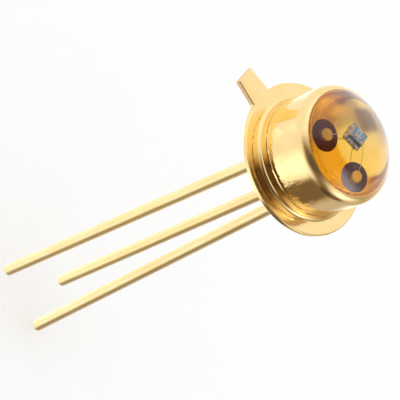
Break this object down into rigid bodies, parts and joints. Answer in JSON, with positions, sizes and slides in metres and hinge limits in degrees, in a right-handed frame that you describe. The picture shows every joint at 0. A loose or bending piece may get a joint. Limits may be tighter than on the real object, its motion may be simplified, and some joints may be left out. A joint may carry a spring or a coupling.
{
  "type": "phototransistor",
  "caption": "Phototransistor in a gold-plated round metal header with flange and index tab, glass-sealed wire leads and a clear cast dome lens over the chip.",
  "frame": {"origin": "centre of the flange's underside, on the package axis", "axes": "+Z along the package axis towards the lens, -X through the emitter lead, -Y through the base lead, +X through the collector lead"},
  "size_m": [0.006, 0.0059, 0.0198],
  "materials": {
    "gold_plate": "polished gold plating",
    "sealing_glass": "dark sealing glass",
    "lead_gold": "gold-plated drawn wire",
    "bonding_layer": "matt bonding metal",
    "silicon": "polished silicon with a blue film",
    "contact_film": "bright metal film",
    "bond_wire": "fine bright wire",
    "clear_resin": "clear cast resin"
  },
  "bodies": {
    "root": {"header_shell": "gold_plate", "glass_seal": "sealing_glass", "emitter_lead": "lead_gold", "base_lead": "lead_gold", "collector_lead": "lead_gold", "die_attach": "bonding_layer", "die": "silicon", "die_contacts": "contact_film", "emitter_wire": "bond_wire", "base_wire": "bond_wire", "lens": "clear_resin"}
  },
  "joints": []
}
